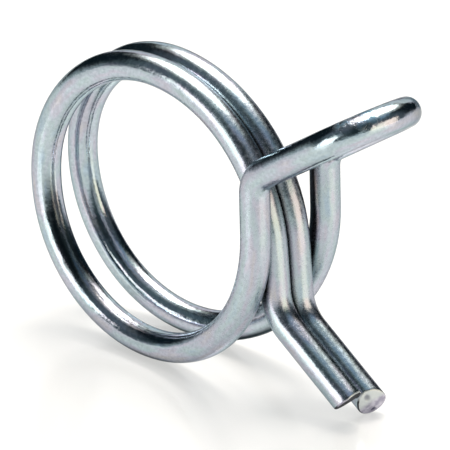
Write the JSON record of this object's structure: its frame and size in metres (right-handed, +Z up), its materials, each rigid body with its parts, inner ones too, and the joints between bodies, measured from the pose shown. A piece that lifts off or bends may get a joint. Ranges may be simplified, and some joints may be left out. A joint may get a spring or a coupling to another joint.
{
  "type": "double wire spring hose clamp",
  "caption": "Self-tensioning hose clamp bent from one length of round spring wire, with a loop and a double tail as plier tabs.",
  "frame": {"origin": "on the hose's axis, half way between the ring's lowest and highest point", "axes": "+Y along the hose's axis, +X towards the loop and the tail, +Z up as the clamp stands on a table"},
  "size_m": [0.037, 0.011, 0.0279],
  "materials": {
    "wire": "bright zinc plating"
  },
  "bodies": {
    "root": {"wire_clamp": "wire"}
  },
  "joints": []
}
